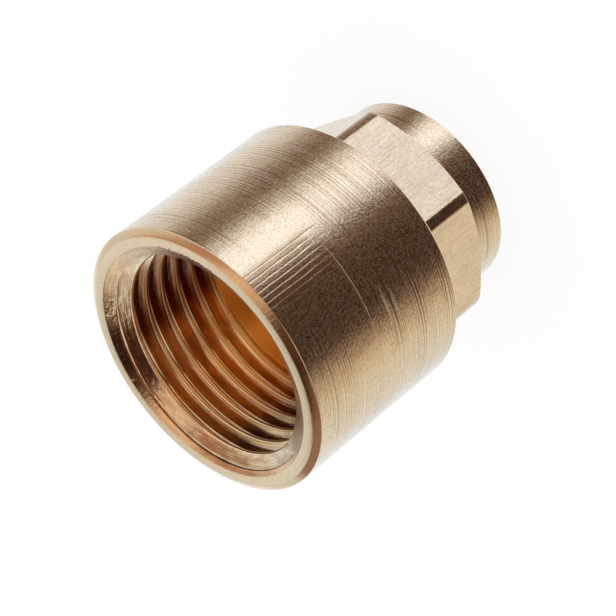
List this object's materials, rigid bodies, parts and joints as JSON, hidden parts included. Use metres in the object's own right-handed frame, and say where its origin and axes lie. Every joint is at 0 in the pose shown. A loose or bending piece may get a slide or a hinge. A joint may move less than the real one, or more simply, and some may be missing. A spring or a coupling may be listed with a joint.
{
  "type": "female threaded solder adapter",
  "caption": "Straight pipe adapter with a female threaded mouth, a hexagonal wrench section and a thin-walled solder socket for copper tube.",
  "frame": {"origin": "centre of the solder socket's end face, which the fitting stands on", "axes": "+Z along the axis, from the solder socket to the threaded mouth; one wrench flat faces -Y"},
  "size_m": [0.0248, 0.0248, 0.028],
  "materials": {
    "brass": "turned, fine tool marks, light scratches"
  },
  "bodies": {
    "root": {"adapter": "brass"}
  },
  "joints": []
}
